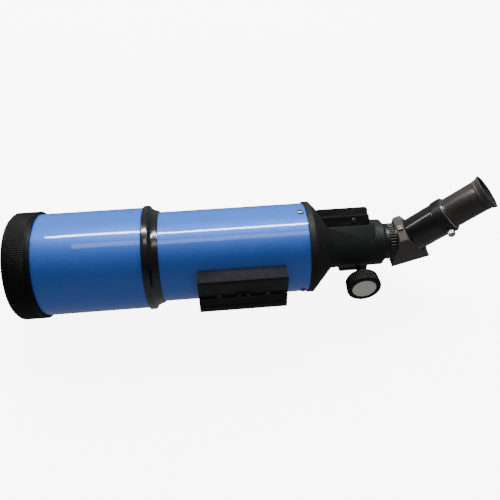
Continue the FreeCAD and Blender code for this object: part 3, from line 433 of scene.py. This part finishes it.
def knurled_screw(name, node, joint_name, material):
    """A thumbscrew: plain stem and a straight-knurled head with chamfered ends."""
    joint = next(j for j in frame["joints"] if j["name"] == joint_name)
    middle, heading = Vector(joint["pos_m"]), Vector(joint["axis"]).normalized()
    mesh = frame["nodes"][node].data
    along = [(v.co - middle).dot(heading) / MM for v in mesh.vertices]
    inner, outer = min(along), max(along)
    head_radius, head_length, stem_radius = 3.6, 5.0, 1.9
    knurls, knurl_depth = 22, 0.28
    shoulder = outer - head_length

    def knurl(angle):
        """The head's straight knurling."""
        return head_radius - knurl_depth * (0.5 - 0.5 * math.cos(knurls * angle))

    screw = skin(name, [
        (inner, 0.02, 0), (inner, 1.5, 0), (inner + 0.5, stem_radius, 0), (shoulder - 0.02, stem_radius, 0),
        (shoulder, 2.0, 0), (shoulder, 3.0, 0), (shoulder + 0.4, 3.4, 0), (shoulder + 0.55, knurl, 0),
        (outer - 0.75, knurl, 0), (outer - 0.5, 3.3, 0), (outer, 2.7, 0), (outer, 0.02, 0)],
        knurls * 8, about(middle, heading))
    stand_for(screw, node, material)


knurled_screw("holder_thumbscrew_knurled", "holder_thumbscrew", "holder_screw_turn", nickel)

# ------------------------------------------------------------------ pinion, cover and focusing knobs
# A ground steel shaft under the barrel, held by a small cast cover with four screws; each end
# carries a moulded rubber-grip knob with a turned aluminium disc set in its face.
ground, tree, shader, place = start_finish("steel_shaft_ground", Metallic=1.0)
mottle(tree, shader, place, "9a9a98", "b0b0ad", 2)
sheen_drift(tree, shader, place, 0.2, 0.3, 2)
wear(ground, "pinion_shaft")
round_edges("pinion_cover", 0.4, casting)

# Moulded rubber is a deep, dull black; the discs are faced on a lathe, so rings run round their centre.
grip_rubber, tree, shader, place = start_finish(
    "rubber_knob_moulded_matt", IOR=1.5, Specular_IOR_Level=0.22)
mottle(tree, shader, place, "080808", "0f0f0e", 3)
sheen_drift(tree, shader, place, 0.5, 0.62, 4)
grain(tree, shader, place, 0.6, 0.015)
satin_disc, tree, shader, place = start_finish("aluminium_disc_turned_satin", Metallic=0.5)
pinion = next(j for j in frame["joints"] if j["name"] == "pinion_turn")
hub = add(tree, "ShaderNodeVectorMath", {0: place, 1: Vector(pinion["pos_m"])}, operation="SUBTRACT")
flat = add(tree, "ShaderNodeVectorMath", {0: hub.outputs["Vector"], 1: Vector((1, 0, 1))},
           operation="MULTIPLY")
radius = add(tree, "ShaderNodeVectorMath", {0: flat.outputs["Vector"]}, operation="LENGTH")
rings = add(tree, "ShaderNodeCombineXYZ", {"X": radius.outputs["Value"]}).outputs["Vector"]
mottle(tree, shader, rings, "dedbd0", "efece2", 0.5)
sheen_drift(tree, shader, rings, 0.38, 0.55, 0.4)
grain(tree, shader, rings, 0.4, 0.02)
knob_ribs, knob_radius, knob_rib_depth, knob_taper = 56, 17.6, 0.6, 0.75


def knob_grip(angle):
    """Fine axial ribs round the knob."""
    return knob_radius - knob_rib_depth * (0.5 - 0.5 * math.cos(knob_ribs * angle)) ** 1.5


def knob_grip_inner(angle):
    """The same ribs at the knob's slightly smaller inner end."""
    return knob_grip(angle) - knob_taper


disc_seat, disc_face = 41.1, 42.2
for side, heading in (("near", -1), ("far", 1)):
    centre = (pinion["pos_m"][0], axis_y, pinion["pos_m"][2])
    knob = skin(f"knob_{side}_ribbed", [
        (34.88, 2.5, 0), (26.8, 2.5, 0), (26.8, 4.6, 0), (27.2, 5.0, 0), (28.6, 6.0, 0), (28.8, 6.6, 0),
        (28.8, 15.6, 0), (29.2, 16.1, 0), (29.7, 16.4, 0), (30.1, knob_grip_inner, 0),
        (40.4, knob_grip, 0), (40.9, 17.5, 0), (41.6, 17.3, 0), (42.1, 16.8, 0), (42.4, 16.1, 0),
        (42.4, 12.9, 0), (disc_face, 12.5, 0), (disc_seat, 12.4, 0), (disc_seat, 0.05, 0),
        (34.9, 0.05, 0)], knob_ribs * 8, about(centre, (0, heading, 0)))
    stand_for(knob, f"knob_{side}", grip_rubber)
    disc = skin(f"knob_disc_{side}", [
        (disc_seat, 0.05, 0), (disc_seat, 12.2, 0), (41.8, 12.25, 0), (42.05, 12.05, 0),
        (disc_face, 11.6, 0), (42.12, 10.6, 0), (disc_face, 10.2, 0), (disc_face, 0.05, 0)], 144,
        about(centre, (0, heading, 0)))
    stand_for(disc, f"knob_inlay_{side}", satin_disc)

# ------------------------------------------------------------------ erecting diagonal
# Two ABS mouldings screwed together round a glass roof prism: a triangular box and its base plate,
# matt charcoal, with a brass screw that presses the prism in place.
prism_box, tree, shader, place = start_finish(
    "abs_moulded_matt_charcoal", IOR=1.5, Specular_IOR_Level=0.12)
mottle(tree, shader, place, "514e47", "5e5a52", 5)
sheen_drift(tree, shader, place, 0.55, 0.68, 7)
grain(tree, shader, place, 0.8, 0.03, detail=3.0)
round_edges("prism_housing", 0.45, prism_box)
round_edges("prism_base_plate", 0.4, prism_box)
brass, tree, shader, place = start_finish("brass_turned_bright", Metallic=1.0)
mottle(tree, shader, place, "857a62", "a09478", 0.8)
sheen_drift(tree, shader, place, 0.22, 0.34, 0.7)
wear(brass, "prism_clamp_screw", "compression_ring")

# ------------------------------------------------------------------ output tube and eyepiece clamp
# Gloss black moulded tube with a turned collar screwed on its end; a split brass ring inside is
# squeezed by one nickel thumbscrew.
gloss_abs, tree, shader, place = start_finish("abs_moulded_gloss_black", IOR=1.53, Coat_Weight=0.3,
                                              Coat_Roughness=0.05)
mottle(tree, shader, place, "121213", "191919", 6)
sheen_drift(tree, shader, place, 0.14, 0.24, 6)
grain(tree, shader, place, 1.5, 0.006)
round_edges("output_tube", 0.35, gloss_abs)
round_edges("clamp_collar", 0.35, turned_black)
knurled_screw("eyepiece_thumbscrew_knurled", "eyepiece_thumbscrew", "collar_screw_turn", nickel)

# ------------------------------------------------------------------ eyepiece
# Turned aluminium body, black anodised with a warm cast, screwed to a chromed barrel that holds
# the field stop; two lenses with a spacer tube between them.
warm_anodised, tree, shader, place = start_finish(
    "aluminium_turned_warm_black_anodised", Metallic=0.2, IOR=1.5)
mottle(tree, shader, place, "38322e", "45403b", 4)
sheen_drift(tree, shader, place, 0.3, 0.42, 4)
grain(tree, shader, place, 0.4, 0.01)
round_edges("eyepiece_body", 0.35, warm_anodised)

# The eyecup is a soft moulded rubber sleeve with a flared lip and a shallow fold. Its stations count
# from the point where the tilted axis leaves the optical one.
eyepiece = next(j for j in frame["joints"] if j["name"] == "eyepiece_pull")
clamp = next(j for j in frame["joints"] if j["name"] == "collar_screw_turn")
out_heading = Vector(eyepiece["axis"]).normalized()
clamp_station = 47.5
out_origin = Vector(clamp["pos_m"]) - out_heading * clamp_station * MM
cup = skin("eyecup_moulded", [
    (86.05, 12.5, 0), (86.05, 15.4, 0), (86.3, 15.7, 0), (87.2, 15.95, 0), (88.0, 15.9, 0), (88.4, 15.6, 0),
    (88.8, 15.6, 0), (89.3, 16.0, 0), (90.2, 16.35, 0), (91.2, 16.75, 0), (92.1, 17.25, 0), (92.7, 17.6, 0),
    (93.1, 17.68, 0), (93.4, 17.5, 0), (93.5, 17.1, 0), (93.45, 16.5, 0), (93.2, 16.1, 0), (92.4, 15.8, 0),
    (91.0, 15.15, 0), (89.0, 14.35, 0), (88.5, 14.1, 0), (87.7, 12.6, 0)], 160,
    about(out_origin, out_heading))
soft_rubber, tree, shader, place = start_finish("rubber_eyecup_moulded_soft", IOR=1.5, Sheen_Weight=0.15,
                                                Sheen_Roughness=0.5)
mottle(tree, shader, place, "322f2b", "413d38", 3)
sheen_drift(tree, shader, place, 0.55, 0.7, 3)
grain(tree, shader, place, 0.7, 0.02)
stand_for(cup, "eyecup", soft_rubber)
# The rubber cup's inside faces are made flat black, much darker than its rubber: painted shade in its hollow.
blacken_inside(cup, out_origin, out_heading)
wear(turned_black, "lens_retaining_ring", "drawtube")

# ------------------------------------------------------------------ studio
# A seamless pale sweep: a round floor that curves up into a wall, so that no edge shows from any
# side. Long overhead lamps draw their windows along the tube, and white panels behind and in front
# fill the shadows.
floor_gap = 0.0004
floor_level = cad_box[0][2] - floor_gap
sweep_mesh = bpy.data.meshes.new("studio_sweep")
profile = [(1.0, 0.0), (3.0, 0.0), (3.8, 0.06), (4.5, 0.3), (5.0, 0.8), (5.2, 1.5), (5.2, 6.0)]
turns = 96
points = [(reach * math.cos(2 * math.pi * step / turns), reach * math.sin(2 * math.pi * step / turns),
           floor_level + rise) for reach, rise in profile for step in range(turns)]
centre_point = len(points)
points.append((0.0, 0.0, floor_level))
faces = [(centre_point, step, (step + 1) % turns) for step in range(turns)]
for row in range(len(profile) - 1):
    inside, outside = row * turns, (row + 1) * turns
    for step in range(turns):
        after = (step + 1) % turns
        faces.append((inside + step, outside + step, outside + after, inside + after))
sweep_mesh.from_pydata(points, [], faces)
for face in sweep_mesh.polygons:
    face.use_smooth = True
sweep = bpy.data.objects.new("studio_sweep", sweep_mesh)
bpy.context.scene.collection.objects.link(sweep)
paper, tree, shader, place = start_finish("paper_matt_white", Roughness=0.9, Emission_Strength=7.0,
                                          Emission_Color=linear("ffffff"))
mottle(tree, shader, place, "f4f4f2", "f9f9f7", 120)
sweep_mesh.materials.append(paper)
sweep.visible_diffuse = sweep.visible_glossy = sweep.visible_shadow = False


def softbox(name, where, aim, size, power, along=(1, 0, 0)):
    """A rectangular soft light at a point, facing another, its long side as near a heading as it can be."""
    light = bpy.data.lights.new(name, "AREA")
    light.shape, light.size, light.size_y, light.energy = "RECTANGLE", size[0], size[1], power
    lamp = bpy.data.objects.new(name, light)
    back = (Vector(where) - Vector(aim)).normalized()
    long_side = (Vector(along) - Vector(along).dot(back) * back).normalized()
    turn = Matrix((long_side, back.cross(long_side), back)).transposed().to_4x4()
    lamp.matrix_world = Matrix.Translation(where) @ turn
    bpy.context.scene.collection.objects.link(lamp)
    return lamp


for mirrored in (
        softbox("overhead_lamp_row", (0.30, 0.32, 0.92), (0.30, 0.0575, 0), (1.34, 0.075), 20),
        softbox("overhead_diffuser", (0.32, -0.09, 0.94), (0.32, 0.0575, 0), (1.10, 0.16), 1.8),
        softbox("side_window", (-0.74, 0.57, 0.58), (0.19, 0.0575, 0.02), (0.9, 0.10), 3, along=out_heading)):
    mirrored.visible_diffuse = False
for panel in (softbox("wall_bounce", (0.0, 0.95, 0.88), (0.0, 0.0575, 0), (2.4, 1.2), 52),
              softbox("front_fill", (0.1, -0.95, 0.3), (0.0, 0.0575, 0), (1.6, 0.8), 1.6)):
    panel.visible_glossy = False

# The room glows faintly all round, more from above and behind, and a little from the floor in front.
room = bpy.data.worlds.new("white_wall_behind")
room.use_nodes = True
heading = add(room.node_tree, "ShaderNodeTexCoord", {}).outputs["Generated"]
glow = add(room.node_tree, "ShaderNodeValue", {}).outputs[0]
glow.default_value = 0.08
wall_glow, floor_glow = ((0, 0.574, 0.819), -0.1, 1.0, 0.24), ((0, -0.6, -0.8), 0.1, 0.9, 0.22)
for towards, least, most, glow_added in (wall_glow, floor_glow):
    facing = add(room.node_tree, "ShaderNodeVectorMath", {0: heading, 1: Vector(towards)},
                 operation="DOT_PRODUCT")
    share = add(room.node_tree, "ShaderNodeMapRange", {
        "Value": facing.outputs["Value"], "From Min": least, "From Max": most, "To Max": glow_added},
        interpolation_type="SMOOTHSTEP")
    glow = add(room.node_tree, "ShaderNodeMath", {0: glow, 1: share.outputs["Result"]}).outputs[0]
background = room.node_tree.nodes["Background"]
background.inputs["Color"].default_value = linear("f6f8fc")
room.node_tree.links.new(glow, background.inputs["Strength"])
bpy.context.scene.world = room

# The camera looks down at the telescope's side from a little over half a metre.
view = bpy.data.cameras.new("camera")
view.sensor_width, view.lens, view.shift_y = 36, 38.78, -0.0078
view.clip_start, view.clip_end = 0.01, 50
camera = bpy.data.objects.new("camera", view)
right, upward = Vector((0.99580, -0.09152, -0.00413)), Vector((0.06861, 0.71522, 0.69552))
backward = -Vector((0.06070, 0.69288, -0.71848))
camera.matrix_world = (Matrix.Translation((-0.0218, -0.3209, 0.3988))
                       @ Matrix((right, upward, backward)).transposed().to_4x4())
bpy.context.scene.collection.objects.link(camera)
bpy.context.scene.camera = camera
